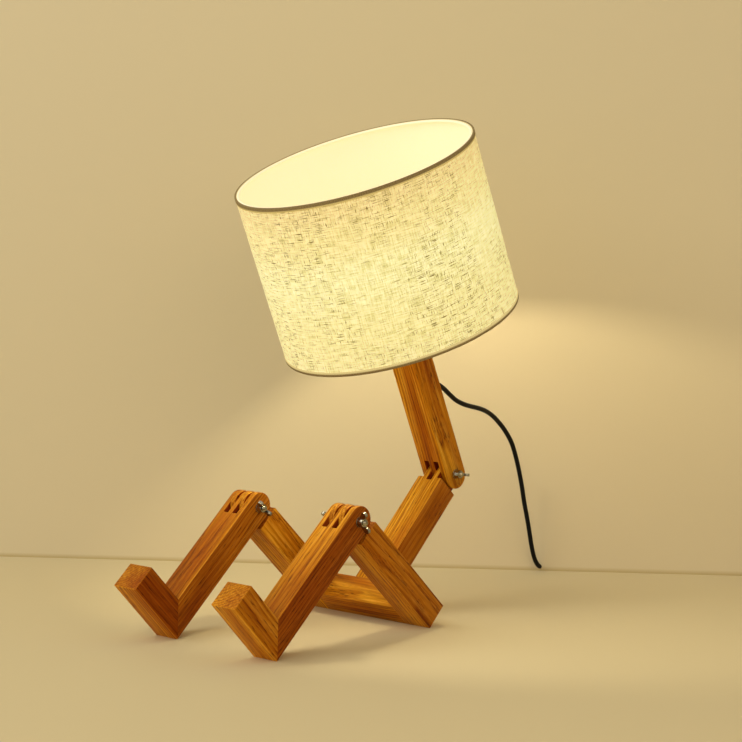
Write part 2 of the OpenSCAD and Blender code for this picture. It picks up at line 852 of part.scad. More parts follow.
// Flat moulded body that narrows towards the lead, with a tapered boot
module plug_body() {
    color(black) in_plug() difference() {
        union() {
            translate([boot_len, 0, 0]) linear_extrude(plug_t, center = true) polygon([
                [0, -7], [6, -plug_w / 2], [plug_len - 3, -plug_w / 2], [plug_len, 3 - plug_w / 2],
                [plug_len, plug_w / 2 - 3], [plug_len - 3, plug_w / 2], [6, plug_w / 2], [0, 7]
            ]);
            rotate([0, 90, 0]) cylinder(r1 = cord_r + 0.8, r2 = plug_t / 2 - 1, h = boot_len + 1);
        }
        translate([-1, 0, 0]) rotate([0, 90, 0]) cylinder(r = cord_r + 0.15, h = boot_len + 1);
        for (side = [-1, 1]) translate([boot_len + plug_len - pin_root, side * pin_pitch / 2, 0])
            rotate([0, 90, 0]) cylinder(d = pin_d - 0.6, h = pin_root + 1);
    }
}

module plug_pins() {
    tip = 1;
    color(steel) in_plug() for (side = [-1, 1])
        translate([boot_len + plug_len, side * pin_pitch / 2, 0]) rotate([0, 90, 0]) {
            translate([0, 0, -pin_root]) cylinder(d = pin_d - 0.64, h = pin_root + 1);
            cylinder(d = pin_d, h = pin_len - tip);
            translate([0, 0, pin_len - tip]) cylinder(d1 = pin_d, d2 = pin_d - 2 * tip, h = tip);
        }
}

hip_bar();
thigh_left();
thigh_right();
lower_torso();
hip_dowels();
torso_dowels();
shin_left();
foot_left();
foot_dowels_left();
knee_screw_left();
knee_washers_left();
knee_wing_nut_left();
shin_right();
foot_right();
foot_dowels_right();
knee_screw_right();
knee_washers_right();
knee_wing_nut_right();
upper_torso();
waist_screw();
waist_washers();
waist_wing_nut();
holder_tube();
holder_cap();
holder_core();
holder_screw_shell();
holder_contacts();
holder_sleeve();
shade_ring_nut();
shade_spider();
shade_bottom_wire();
shade_top_wire();
shade_liner();
shade_linen();
rim_binding_top();
rim_binding_bottom();
bulb_globe();
bulb_screw_cap();
bulb_foot_contact();
bulb_light_board();
lead_guard();
inner_lead();
cord_run();
cord_tail();
cord_coil();
cord_end();
coil_tie();
switch_base();
switch_cover();
switch_rocker();
switch_screws();
switch_terminals();
plug_body();
plug_pins();
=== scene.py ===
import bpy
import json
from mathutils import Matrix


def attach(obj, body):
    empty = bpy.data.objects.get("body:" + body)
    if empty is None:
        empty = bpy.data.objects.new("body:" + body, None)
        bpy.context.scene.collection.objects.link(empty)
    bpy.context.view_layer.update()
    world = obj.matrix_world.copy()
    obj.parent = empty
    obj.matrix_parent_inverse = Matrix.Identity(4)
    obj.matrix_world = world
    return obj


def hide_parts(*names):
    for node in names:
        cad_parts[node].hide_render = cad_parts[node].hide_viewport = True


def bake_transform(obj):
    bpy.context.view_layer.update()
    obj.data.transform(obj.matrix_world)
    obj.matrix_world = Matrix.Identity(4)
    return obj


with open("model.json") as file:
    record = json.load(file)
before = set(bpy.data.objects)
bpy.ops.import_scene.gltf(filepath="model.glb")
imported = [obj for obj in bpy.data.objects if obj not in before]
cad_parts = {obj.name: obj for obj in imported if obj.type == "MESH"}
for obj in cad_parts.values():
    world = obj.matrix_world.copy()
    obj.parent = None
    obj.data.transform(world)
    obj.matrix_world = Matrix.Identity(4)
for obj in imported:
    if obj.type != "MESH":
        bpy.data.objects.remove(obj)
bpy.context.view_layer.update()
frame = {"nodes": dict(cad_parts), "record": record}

import json
from math import cos, pi, radians, sin, tau

import bmesh
import bpy
import numpy as np
from mathutils import Matrix, Vector

# ---- View ----
# The lamp is seen from its front left, a little above the table, through a long lens: the camera
# looks almost level, so the bars keep their true angles and the drum's rims are thin ellipses.

azimuth, elevation, roll = radians(44.787), radians(4.305), radians(-0.410)
level_right = Vector((cos(azimuth), sin(azimuth), 0))
back = Vector((sin(azimuth) * cos(elevation), -cos(azimuth) * cos(elevation), sin(elevation)))
level_up = back.cross(level_right)
right = cos(roll) * level_right + sin(roll) * level_up
up = cos(roll) * level_up - sin(roll) * level_right

view = bpy.data.cameras.new("view")
view.sensor_width = 36
view.lens = 96.11
view.clip_start = 0.05
view_point = bpy.data.objects.new("view", view)
view_point.matrix_world = Matrix((right, up, back)).transposed().to_4x4()
view_point.location = (1.41748, -1.37594, 0.40320)
bpy.context.scene.collection.objects.link(view_point)
bpy.context.scene.camera = view_point
bpy.context.scene.view_settings.view_transform = "Standard"

# ---- Mains lead ----
# A round two-core lead in a black sheath. It leaves the back of the upper torso through a rubber
# guard, hangs to the table, runs through an inline switch and ends in a moulded plug. The length
# that isn't needed is wound into a round coil of two layers beyond the switch.


def linear(code):
    """sRGB hex colour as linear RGBA: c / 12.92 below 0.04045, ((c + 0.055) / 1.055) ^ 2.4 above."""
    parts = [int(code[i:i + 2], 16) / 255 for i in (1, 3, 5)]
    return [c / 12.92 if c <= 0.04045 else ((c + 0.055) / 1.055) ** 2.4 for c in parts] + [1.0]


def add(tree, kind, inputs=None, stops=(), **settings):
    """Adds one shader node: sockets by name or number take a number, a colour or another socket.

    stops are a colour ramp's pairs of position and sRGB hex colour.
    """
    new = tree.nodes.new("ShaderNode" + kind)
    for name, value in settings.items():
        setattr(new, name, value)
    for socket, value in (inputs or {}).items():
        if isinstance(value, bpy.types.NodeSocket):
            tree.links.new(value, new.inputs[socket])
        else:
            new.inputs[socket].default_value = value
    if stops:
        elements = new.color_ramp.elements
        while len(elements) < len(stops):
            elements.new(0.5)
        for element, (position, code) in zip(elements, stops):
            element.position, element.color = position, linear(code)
    return new


def finish(name, **sockets):
    """A new material with its tree and its surface shader; the sockets are set on the shader."""
    made = bpy.data.materials.new(name)
    made.use_nodes = True
    shader = made.node_tree.nodes["Principled BSDF"]
    for socket, value in sockets.items():
        shader.inputs[socket.replace("_", " ")].default_value = value
    return made, made.node_tree, shader


def mottled(name, grain, detail, colours, rough=(), relief=None, stretch=(1, 1, 1),
            coordinates="Object", **sockets):
    """A finish mottled by one noise: its ramps give the colour and, where given, the roughness.

    grain is the marks of the noise in a metre, times stretch along each axis. relief is the
    strength and the depth, in metres, of the bump that the same noise gives.
    """
    made, tree, shader = finish(name, **sockets)
    place = add(tree, "TexCoord").outputs[coordinates]
    laid = add(tree, "Mapping", {"Vector": place, "Scale": stretch}).outputs[0]
    cloud = add(tree, "TexNoise", {"Vector": laid, "Scale": grain, "Detail": detail}).outputs["Fac"]
    for socket, stops in (("Base Color", colours), ("Roughness", rough)):
        if stops:
            blotches = add(tree, "ValToRGB", {"Fac": cloud}, stops)
            tree.links.new(blotches.outputs[0], shader.inputs[socket])
    if relief:
        bump = add(tree, "Bump", {"Height": cloud, "Strength": relief[0], "Distance": relief[1]})
        tree.links.new(bump.outputs[0], shader.inputs["Normal"])
    return made


def surface(name, points, faces, material, uv=None, sharp=35):
    """A mesh object at the origin, smooth but for edges over sharp degrees; uv has a pair a corner."""
    mesh = bpy.data.meshes.new(name)
    mesh.from_pydata(np.asarray(points, float).tolist(), [], faces)
    mesh.polygons.foreach_set("use_smooth", np.ones(len(mesh.polygons), bool))
    mesh.set_sharp_from_angle(angle=radians(sharp))
    if uv is not None:
        layer = mesh.uv_layers.new(name="metres")
        layer.data.foreach_set("uv", np.asarray(uv, np.float32).ravel())
    mesh.update()
    piece = bpy.data.objects.new(name, mesh)
    bpy.context.scene.collection.objects.link(piece)
    piece.data.materials.append(material)
    return piece


def wrapped(name, rings, material, along, around, looped=False, sharp=35):
    """A closed skin over rings of points, an array (rows, columns, 3) whose columns go round.

    The rows join up when looped; otherwise a fan round the middle of its first and last ring
    closes each end. along and around are the lengths that UV measures, one more than the
    rows when looped, and one more than the columns.
    """
    rows, columns = rings.shape[:2]
    i, j = np.meshgrid(np.arange(rows - 1 + looped), np.arange(columns), indexing="ij")
    i, j = i.ravel(), j.ravel()
    i1, j1 = i + 1, j + 1
    quads = np.stack([i * columns + j, i * columns + j1 % columns,
                      i1 % rows * columns + j1 % columns, i1 % rows * columns + j], 1)
    around, along = np.asarray(around), np.asarray(along)
    uv = np.stack([np.stack([around[j], around[j1], around[j1], around[j]], 1),
                   np.stack([along[i], along[i], along[i1], along[i1]], 1)], 2).reshape(-1, 2)
    points, faces = rings.reshape(-1, 3), quads.tolist()
    if not looped:
        k = np.arange(columns)
        last, middle = (rows - 1) * columns, rows * columns
        points = np.vstack([points, rings[0].mean(0), rings[-1].mean(0)])
        faces += np.stack([np.full(columns, middle), (k + 1) % columns, k], 1).tolist()
        faces += np.stack([np.full(columns, middle + 1), last + k, last + (k + 1) % columns],
                          1).tolist()
        for row, order in ((0, (k, k + 1, k)), (-1, (k, k, k + 1))):
            uv = np.vstack([uv, np.stack([np.stack([around[o] for o in order], 1),
                                          np.full((columns, 3), along[row])], 2).reshape(-1, 2)])
    return surface(name, points, faces, material, uv, sharp)


def spline(points, step):
    """A smooth line through points: Catmull-Rom, then spaced by step along its length."""
    p = np.asarray(points, float)
    p = np.vstack([2 * p[0] - p[1], p, 2 * p[-1] - p[-2]])
    t = np.linspace(0, 1, 12, endpoint=False)[:, None]
    line = np.vstack([
        0.5 * (2 * b + (c - a) * t + (2 * a - 5 * b + 4 * c - d) * t ** 2
               + (3 * b - a - 3 * c + d) * t ** 3)
        for a, b, c, d in zip(p[:-3], p[1:-2], p[2:-1], p[3:])] + [p[-2][None]])
    at = np.r_[0, np.cumsum(np.linalg.norm(np.diff(line, axis=0), axis=1))]
    wanted = np.linspace(0, at[-1], max(2, round(at[-1] / step)) + 1)
    return np.stack([np.interp(wanted, at, line[:, k]) for k in range(3)], 1)


def tube(line, radius, sides):
    """Points of a tube: line + radius * (cos a * across + sin a * over), with the least twist."""
    way = np.gradient(line, axis=0)
    way /= np.linalg.norm(way, axis=1, keepdims=True)
    over = np.empty_like(way)
    over[0] = np.cross(way[0], (1, 0, 0))
    for k in range(1, len(way)):
        over[k] = over[k - 1] - way[k] * (over[k - 1] @ way[k])
        over[k] /= np.linalg.norm(over[k])
    over[0] /= np.linalg.norm(over[0])
    across = np.cross(over, way)
    a = np.arange(sides) * tau / sides
    radius = np.broadcast_to(radius, len(line))[:, None, None]
    return line[:, None] + radius * (np.cos(a)[None, :, None] * across[:, None]
                                     + np.sin(a)[None, :, None] * over[:, None])


# Places in the side view, in metres: the waist pin and the upper torso's lean; then, in the upper
# torso's own axes, where the lead's slanted bore leaves its back and how far the guard stands out
waist_y, waist_z, chest_lean = 0.161407, 0.137179, radians(22)
exit_y, exit_z, slant, guard_out = 0.014, 0.104, pi / 4, 0.012


def on_chest(points):
    """Moves points from the upper torso's own axes, z up the bar from the waist pin, into place."""
    p = np.asarray(points, float)
    y, z = p[..., 1], p[..., 2]
    return np.stack([p[..., 0], waist_y + y * cos(chest_lean) - z * sin(chest_lean),
                     waist_z + y * sin(chest_lean) + z * cos(chest_lean)], -1)


# The lead's route, as points on its centre line; lying is the height of that line on the table
lead_r, lead_sides, route_step = 0.0026, 14, 0.004
lying = lead_r + 0.0001
nose = on_chest((0, exit_y + guard_out * cos(slant), exit_z - guard_out * sin(slant)))
exit_angle, straight = slant - chest_lean, 0.007
run = [
    nose, nose + straight * np.array((0, cos(exit_angle), -sin(exit_angle))),
    (-0.003, 0.165, 0.226), (-0.006, 0.177, 0.219), (-0.009, 0.191, 0.2115),
    (-0.011, 0.206, 0.206), (-0.014, 0.221, 0.2025), (-0.017, 0.237, 0.199),
    (-0.020, 0.252, 0.1945), (-0.023, 0.267, 0.1875), (-0.026, 0.281, 0.1785),
    (-0.028, 0.294, 0.1675), (-0.030, 0.306, 0.154), (-0.032, 0.315, 0.1385),
    (-0.033, 0.322, 0.121), (-0.034, 0.328, 0.103), (-0.035, 0.333, 0.085),
    (-0.036, 0.339, 0.067), (-0.037, 0.3445, 0.049), (-0.038, 0.349, 0.034),
    (-0.039, 0.354, 0.021), (-0.040, 0.360, 0.011), (-0.042, 0.369, 0.0045),
    (-0.044, 0.379, lying), (-0.048, 0.389, lying), (-0.055, 0.3965, lying),
    (-0.065, 0.400, 0.0036), (-0.076, 0.400, 0.0054), (-0.086, 0.400, 0.0066),
    (-0.098, 0.400, 0.007),
]
switch_x, switch_len, behind, entry_z = -0.120, 0.056, 0.400, 0.007
switch_end = switch_x - switch_len / 2
tail = [(switch_end + 0.006, behind, entry_z), (switch_end - 0.004, behind, 0.0067),
        (switch_end - 0.012, behind, 0.0054), (switch_end - 0.020, behind, 0.0042)]

# The coil lies on its tie. It winds inwards, climbs, and winds out again on top of its own turns
coil_out, coil_in, coil_leave = 0.0415, 0.022, 0.040
coil_x, coil_y = switch_end - 0.031, behind - coil_out
turns, low_turns, climb_turns, tie_t = 6.25, 3.4, 0.16, 0.001
turn = np.linspace(0, turns, 260)
climb = np.clip((turn - low_turns + climb_turns / 2) / climb_turns, 0, 1)
coil_r = np.interp(turn, [0, low_turns, turns], [coil_out, coil_in, coil_leave])
angle = pi / 2 + turn * tau
coil = np.stack([coil_x + coil_r * np.cos(angle), coil_y + coil_r * np.sin(angle),
                 tie_t + lead_r + 2 * lead_r * climb * climb * (3 - 2 * climb)], 1)
end = [(coil_x - coil_leave, coil_y - y, z) for y, z in
       ((0.007, 0.0088), (0.017, 0.008), (0.027, 0.0072), (0.034, entry_z))]
route = spline(np.vstack([run, tail, coil, end]), route_step)
route[:, 2] = np.maximum(route[:, 2], lead_r + 0.00002)

# PVC sheath: black and satin, uneven in faint bands round it, about 1 mm wide
sheath = mottled("black_pvc_sheath", 1, 3, [(0.3, "#030303"), (0.7, "#0c0b0a")],
                 relief=(0.25, 0.0002), stretch=(130, 900, 1), coordinates="UV",
                 Roughness=0.5, IOR=1.5, Specular_IOR_Level=0.15)
lead_round = np.arange(lead_sides + 1) * tau * lead_r / lead_sides
lead = wrapped("mains_lead", tube(route, lead_r, lead_sides), sheath,
               np.arange(len(route)) * route_step, lead_round)
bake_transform(lead)
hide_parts("cord_run", "cord_tail", "cord_coil", "cord_end")

# ---- Wooden bars ----
# Nine bars of oiled oak, sawn to 33 by 28 mm and planed. Thighs, hip bar and lower torso are glued
# and dowelled, a foot is mitred to each shin, and combs of fingers mesh at the three hinges.

body_of = {node: body for body, nodes in frame["record"]["behaviour"]["bodies"].items()
           for node in nodes}


def corners(mesh):
    """The corner points of a mesh, as an array."""
    points = np.empty(len(mesh.vertices) * 3, np.float32)
    mesh.vertices.foreach_get("co", points)
    return points.reshape(-1, 3)


def finished(node, material, round_off=0.0, segments=2, angle=30, stays=None, sharp=35,
             cut_x=None):
    """A copy of a CAD solid, its triangles merged and its arrises rounded by round_off metres.

    An arris turns by more than angle degrees. stays(a, b) names edges that stay sharp, and the
    copy ends at x = cut_x where that is given. The rounded faces carry a face attribute set to 1,
    which the oak reads for a painted highlight on its arrises.
    """
    shape = bmesh.new()
    shape.from_mesh(frame["nodes"][node].data)
    bmesh.ops.remove_doubles(shape, verts=shape.verts, dist=1e-6)
    bmesh.ops.dissolve_limit(shape, angle_limit=radians(1), verts=shape.verts, edges=shape.edges)
    if cut_x is not None:
        every = shape.verts[:] + shape.edges[:] + shape.faces[:]
        cut = bmesh.ops.bisect_plane(shape, geom=every, plane_co=(cut_x, 0, 0),
                                     plane_no=(1, 0, 0), clear_outer=True)["geom_cut"]
        bmesh.ops.holes_fill(shape, edges=[e for e in cut if isinstance(e, bmesh.types.BMEdge)])
    arris_highlight = shape.faces.layers.float.new("arris_highlight")
    if round_off:
        arrises = [edge for edge in shape.edges
                   if edge.is_manifold and edge.calc_face_angle(0) > radians(angle)
                   and not (stays and stays(edge.verts[0].co, edge.verts[1].co))]
        rounded = bmesh.ops.bevel(shape, geom=arrises, offset=round_off, segments=segments,
                                  profile=0.5, affect="EDGES", clamp_overlap=True)
        for face in rounded["faces"]:
            face[arris_highlight] = 1
    mesh = bpy.data.meshes.new(node + "_finished")
    shape.to_mesh(mesh)
    shape.free()
    mesh.polygons.foreach_set("use_smooth", np.ones(len(mesh.polygons), bool))
    mesh.set_sharp_from_angle(angle=radians(sharp))
    piece = bpy.data.objects.new(node + "_finished", mesh)
    bpy.context.scene.collection.objects.link(piece)
    mesh.materials.append(material)
    return fitted(piece, node)


def fitted(piece, node):
    """Puts a new piece in a CAD node's stead: on the node's body, with the node hidden."""
    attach(piece, body_of[node])
    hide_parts(node)
    return piece


def leaning(angle):
    """Unit vector in the side view, leaning forwards from straight up by angle."""
    return np.array((0, -sin(angle), cos(angle)))


# Oiled oak. The oil deepens it to a warm brown with a soft sheen. Growth rings 3.4 mm apart run
# as arches or straight lines, with pores as dark dashes in each ring; pores are drawn 0.8 mm wide,
# four times the real width, to show. Each face has a tone of its own, 0 gold and 1 a heartwood
# red-brown: it is partly the board's own colour and partly painted shade, darker on the flats of
# most bars and darkest in the slots of the combs, where shade falls. Layers of colour lie over the
# growth rings in turn: streaks, patches of oil, pores, a painted highlight on the rounded arrises,
# and the face's tone and painted shade.
oak, tree, shader = finish("oiled_oak", IOR=1.45, Specular_IOR_Level=0.2,
                           Specular_Tint=linear("#ffb868"))
grain = add(tree, "Attribute", attribute_name="bar").outputs["Vector"]
slow = add(tree, "Mapping", {"Vector": grain, "Scale": (18, 18, 3.5)}).outputs[0]
drift = add(tree, "TexNoise", {"Vector": slow, "Scale": 1.0, "Detail": 3.0}).outputs["Color"]
wander = add(tree, "VectorMath", {0: drift, 1: (0.02, 0.02, 0), 2: grain},
             operation="MULTIPLY_ADD").outputs[0]
rings = add(tree, "TexWave", {"Vector": wander, "Scale": 92.0, "Distortion": 0.0},
            wave_type="RINGS", rings_direction="Z", wave_profile="SAW").outputs["Fac"]
year = add(tree, "ValToRGB", {"Fac": rings},
           [(0.0, "#8e4806"), (0.16, "#b0680a"), (0.42, "#d39012"), (0.9, "#e4a828"),
            (1.0, "#8e4806")]).outputs[0]
long = add(tree, "Mapping", {"Vector": wander, "Scale": (420, 420, 9)}).outputs[0]
streaks = add(tree, "TexNoise", {"Vector": long, "Scale": 1.0, "Detail": 4.0,
                                 "Roughness": 0.6}).outputs["Fac"]
streaky = add(tree, "ValToRGB", {"Fac": streaks},
              [(0.30, "#763a04"), (0.50, "#d0890f"), (0.66, "#f8c242")]).outputs[0]
wide = add(tree, "Mapping", {"Vector": grain, "Scale": (30, 30, 5)}).outputs[0]
patches = add(tree, "TexNoise", {"Vector": wide, "Scale": 1.0, "Detail": 2.0}).outputs["Fac"]
oil = add(tree, "ValToRGB", {"Fac": patches}, [(0.34, "#bc8850"), (0.62, "#ffffff")]).outputs[0]
short = add(tree, "Mapping", {"Vector": wander, "Scale": (1300, 1300, 110)}).outputs[0]
dashes = add(tree, "TexNoise", {"Vector": short, "Scale": 1.0, "Detail": 1.0}).outputs["Fac"]
dark = add(tree, "ValToRGB", {"Fac": dashes}, [(0.55, "#000000"), (0.67, "#ffffff")]).outputs[0]
early = add(tree, "ValToRGB", {"Fac": rings},
            [(0.0, "#ffffff"), (0.5, "#5a5a5a"), (1.0, "#9a9a9a")]).outputs[0]
pores = add(tree, "Math", {0: dark, 1: early}, operation="MULTIPLY").outputs[0]
# Painted highlight: the rounded arrises are lightened where light would catch them
arris_highlight = add(tree, "Attribute", attribute_name="arris_highlight").outputs["Fac"]
edge_highlight = add(tree, "Math", {0: arris_highlight, 1: 0.3}, operation="MULTIPLY").outputs[0]
# The face's tone: partly the board's own colour, partly painted shade on the flats and in the slots
tone_and_shade = add(tree, "Attribute", attribute_name="tone_and_shade").outputs["Fac"]
# A Mix node's colour sockets go by number, because its sockets for numbers have the same names
mix_a, mix_b, mix_out = 6, 7, 2
wood = year
for amount, layer, blend in ((0.55, streaky, "MIX"), (0.85, oil, "MULTIPLY"),
                             (pores, linear("#4a2206"), "MIX"), (edge_highlight, linear("#d89a2c"), "MIX"),
                             (tone_and_shade, linear("#aa6c80"), "MULTIPLY")):
    wood = add(tree, "Mix", {"Factor": amount, mix_a: wood, mix_b: layer}, data_type="RGBA",
               blend_type=blend).outputs[mix_out]
tree.links.new(wood, shader.inputs["Base Color"])
sheen = add(tree, "ValToRGB", {"Fac": streaks}, [(0.3, "#bcbcbc"), (0.7, "#d2d2d2")])
tree.links.new(sheen.outputs[0], shader.inputs["Roughness"])
height = add(tree, "Math", {0: streaks, 1: pores}, operation="SUBTRACT").outputs[0]
bump = add(tree, "Bump", {"Height": height, "Strength": 0.35, "Distance": 0.0003})
tree.links.new(bump.outputs[0], shader.inputs["Normal"])

knee_pin, waist_pin = np.array((-0.0535535, 0.1173797)), np.array((waist_y, waist_z))
thigh_lean, shin_lean = radians(45.0), radians(47.69)
sideways = np.array((1.0, 0, 0))
# Each bar's direction, the direction that its flats face, and the tones of its flats and edges;
# a flat's tone is partly painted shade, so on most bars the flats are darker than the edges
bars = {
    "hip_bar": (sideways, leaning(0), 0.05, 0.1),
    "thigh_left": (leaning(thigh_lean), sideways, 0.6, 0.1),
    "thigh_right": (leaning(thigh_lean), sideways, 0.05, 0.0),
    "lower_torso": (leaning(thigh_lean - pi / 2), sideways, 0.65, 0.05),
    "shin_left": (leaning(-shin_lean), sideways, 0.8, 0.2),
    "shin_right": (leaning(-shin_lean), sideways, 0.65, 0.25),
    "foot_left": (leaning(pi / 2 - shin_lean), sideways, 0.4, 0.0),
    "foot_right": (leaning(pi / 2 - shin_lean), sideways, 0.68, 0.0),
    "upper_torso": (leaning(chest_lean), sideways, 0.2, 0.0),
}
arris, half_bar = 0.0008, 0.0165
# An edge round a bore: how near it is to the pin, and its greatest length
bore_near, bore_edge = 0.004, 0.009
# The distance to the heart of the tree, and the steps between the bars' places along the log
heart_near, heart_far, log_step = 0.035, 0.075, 1.7
# The cosine over which a face looks one way, a cheek's depth in the bar, a root's way to its pin
square_on, cheek_in, root_near, root_far = 0.7, 0.0015, 0.008, 0.03
luck = np.random.default_rng(11)


def by_a_pin(a, b):
    """True for an edge round one of the hinge pins' bores: near the pin, and short."""
    near = any(np.hypot(*(np.array(a[1:]) - pin)) < bore_near for pin in (knee_pin, waist_pin))
    return near and (a - b).length < bore_edge


for node, (along, across, flat_tone_and_shade, edge_tone_and_shade) in bars.items():
    limb = node.split("_")[0]
    mate = node.replace(limb, {"shin": "foot", "foot": "shin"}.get(limb, ""))
    mitre = set()
    if mate in bars:
        mitre = {tuple(p) for p in np.round(corners(frame["nodes"][mate].data), 5).tolist()}

    def stays(a, b):
        """True for edges of a mitre, which is glued flush, and for edges round the pins."""
        glued = all(tuple(np.round(np.array(p, np.float32), 5).tolist()) in mitre for p in (a, b))
        return glued or by_a_pin(a, b)

    bar = finished(node, oak, arris, stays=stays)

    # The bar's own axes, for its grain: it is cut 35 to 75 mm from the heart of the tree, and
    # from its own place along the log
    points = corners(bar.data)
    through = np.cross(along, across)
    heart = luck.uniform(0, tau)
    own = np.stack([points @ across, points @ through, points @ along], 1)
    own -= own.mean(0)
    own += np.array((cos(heart), sin(heart), 0)) * luck.uniform(heart_near, heart_far)
    own[:, 2] += log_step * luck.integers(1, 40)
    bar.data.attributes.new("bar", "FLOAT_VECTOR", "POINT").data.foreach_set(
        "vector", own.astype(np.float32).ravel())

    # The tones: a cheek of a slot lies inside the bar's sides, and the root of a slot looks at its
    # pin from under 30 mm. Both take the darkest tone, a thigh's roots a little less, as painted shade
    # in the slots. End grain has half the tone of the flats and a little more.
    centre, facing = np.empty((2, len(bar.data.polygons) * 3), np.float32)
    bar.data.polygons.foreach_get("center", centre)
    bar.data.polygons.foreach_get("normal", facing)
    centre, facing = centre.reshape(-1, 3), facing.reshape(-1, 3)
    flat = np.abs(facing @ across) > square_on
    mid = (points.min(0) + points.max(0)) / 2
    shaded_cheek = flat & (np.abs((centre - mid) @ across) < half_bar - cheek_in)
    to_pin = [pin - centre[:, 1:] for pin in (knee_pin, waist_pin)]
    shaded_root = np.any([(np.hypot(*way.T) < root_far) & ((way * facing[:, 1:]).sum(1) > root_near)
                   for way in to_pin], axis=0)
    end_grain = np.abs(facing @ along) > square_on
    tones_and_shades = np.where(flat, flat_tone_and_shade, np.where(end_grain, flat_tone_and_shade / 2 + 0.1, edge_tone_and_shade))
    # Painted shade in the combs' slots: their cheeks and roots are darkened
    if node != "hip_bar":
        tones_and_shades[shaded_cheek], tones_and_shades[shaded_root] = 1, 0.7 if limb == "thigh" else 1
    bar.data.attributes.new("tone_and_shade", "FLOAT", "FACE").data.foreach_set(
        "value", tones_and_shades.astype(np.float32))

# Beech dowels, hidden in the joints: pale, with fine flecks 1.4 mm apart
beech = mottled("planed_beech", 700, 3, [(0.35, "#b98d5e"), (0.65, "#d3ad7f")],
                Roughness=0.6, IOR=1.5)
for node in ("hip_dowels", "torso_dowels", "foot_dowels_left", "foot_dowels_right"):
    finished(node, beech, 0.0006)

# ---- Wing screws ----
# Each hinge turns on an M5 wing screw with a washer under each side and a wing nut on the thread.
# They are cast and turned steel with a bright zinc plating, and undone by hand.

# Zinc-plated steel: bright and a little grey, clouded every 6 mm, with the 0.7 mm grit of the
# casting under the plating
zinc = mottled("zinc_plated_steel", 160, 3, [(0.35, "#857e68"), (0.65, "#b0a88f")],
               [(0.3, "#6e6e6e"), (0.7, "#8a8a8a")], Metallic=1.0)
tree = zinc.node_tree
place = add(tree, "TexCoord").outputs["Object"]
grit = add(tree, "TexNoise", {"Vector": place, "Scale": 1500.0, "Detail": 2.0}).outputs["Fac"]
bump = add(tree, "Bump", {"Height": grit, "Strength": 0.3, "Distance": 0.0001})
tree.links.new(bump.outputs[0], tree.nodes["Principled BSDF"].inputs["Normal"])


def thread(low, high, radius, pitch, depth, sides, per_turn=8, chamfer=0.0):
    """Points of a right-hand screw thread along +z, from low to high.

    The radius dips by depth in a triangle wave of (z / pitch - angle / turn), and the last
    chamfer metres taper by their own length.
    """
    z = np.linspace(low, high, max(2, round((high - low) / pitch * per_turn)) + 1)
    a = np.arange(sides) / sides
    wave = np.abs(((z[:, None] / pitch - a) % 1) * 2 - 1)
    r = radius - depth * wave
    r = np.minimum(r, radius - np.clip(z - (high - chamfer), 0, None)[:, None])
    z = np.broadcast_to(z[:, None], r.shape)
    return np.stack([r * np.cos(a * tau), r * np.sin(a * tau), z], 2)


def on_pin(points, x, pin):
    """Turns points from +z to the hinge pins' direction, +x, and moves them to a pin."""
    return np.stack([points[..., 2] + x, points[..., 0] + pin[0], points[..., 1] + pin[1]], -1)


leg_x, washer_t, hub_len = 0.0715, 0.001, 0.006
# The threaded end starts inside the nut's hub and stands out of it
screw_r, screw_sides, cut_back, end_low, end_high = 0.0025, 40, 0.001, -0.0015, 0.003
for limb, hand, x, pin in (("knee", "_left", leg_x, knee_pin), ("knee", "_right", -leg_x, knee_pin),
                           ("waist", "", 0.0, waist_pin)):
    screw, washers, nut = (limb + kind + hand for kind in ("_screw", "_washers", "_wing_nut"))
    hub_end = x + half_bar + washer_t + hub_len
    finished(screw, zinc, 0.0006, 3, angle=24, cut_x=hub_end - cut_back)
    finished(nut, zinc, 0.0006, 3, angle=24)
    finished(washers, zinc, 0.00025)
    end_points = thread(end_low, end_high, screw_r, pitch=0.0008, depth=0.00042,
                        sides=screw_sides, chamfer=0.0007)
    end_points = on_pin(end_points, hub_end, pin)
    thread_end = wrapped(screw + "_thread", end_points, zinc, end_points[:, 0, 0],
                         np.linspace(0, tau * screw_r, screw_sides + 1))
    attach(thread_end, body_of[screw])

# ---- Lamp holder ----
# A screw-shell holder of black phenolic on a threaded steel tube, with a ceramic core and brass
# contacts. The shade's fitter sits on the sleeve's collar under a ring nut.

# Phenolic moulding: near black, smooth and a little glossy, with faint flow marks 4.5 mm apart
phenolic = mottled("black_phenolic", 220, 4, [(0.3, "#12100f"), (0.7, "#242120")],
                   relief=(0.15, 0.0002), IOR=1.55, Roughness=0.32)

# Glazed ceramic: off-white with specks 1 mm apart under a clear glaze
ceramic = mottled("glazed_ceramic", 900, 2, [(0.25, "#b3aa98"), (0.36, "#e6e0d0")],
                  IOR=1.5, Roughness=0.18)

# Brass: yellow, tarnished a little browner in patches of 4 mm
brass = mottled("pressed_brass", 260, 3, [(0.35, "#a57f3a"), (0.6, "#d6b166")],
                [(0.3, "#848484"), (0.7, "#4c4c4c")], Metallic=1.0)

finished("holder_cap", phenolic, 0.0006)
finished("holder_core", ceramic, 0.0005)
finished("holder_screw_shell", brass, 0.0001)
finished("holder_contacts", brass, 0.0003)
finished("holder_tube", zinc, 0.0002)
finished("shade_ring_nut", phenolic, 0.0004, angle=24)

chest_top = 0.176
sleeve_r, sleeve_low, sleeve_high = 0.0195, chest_top + 0.022, chest_top + 0.058
collar_r, collar_low, collar_high = 0.0235, chest_top + 0.025, chest_top + 0.027
neck_low, mouth_r, sleeve_t, lip, edge = collar_high + 0.0085, 0.0142, 0.002, 0.001, 0.0003
sleeve_sides = 96


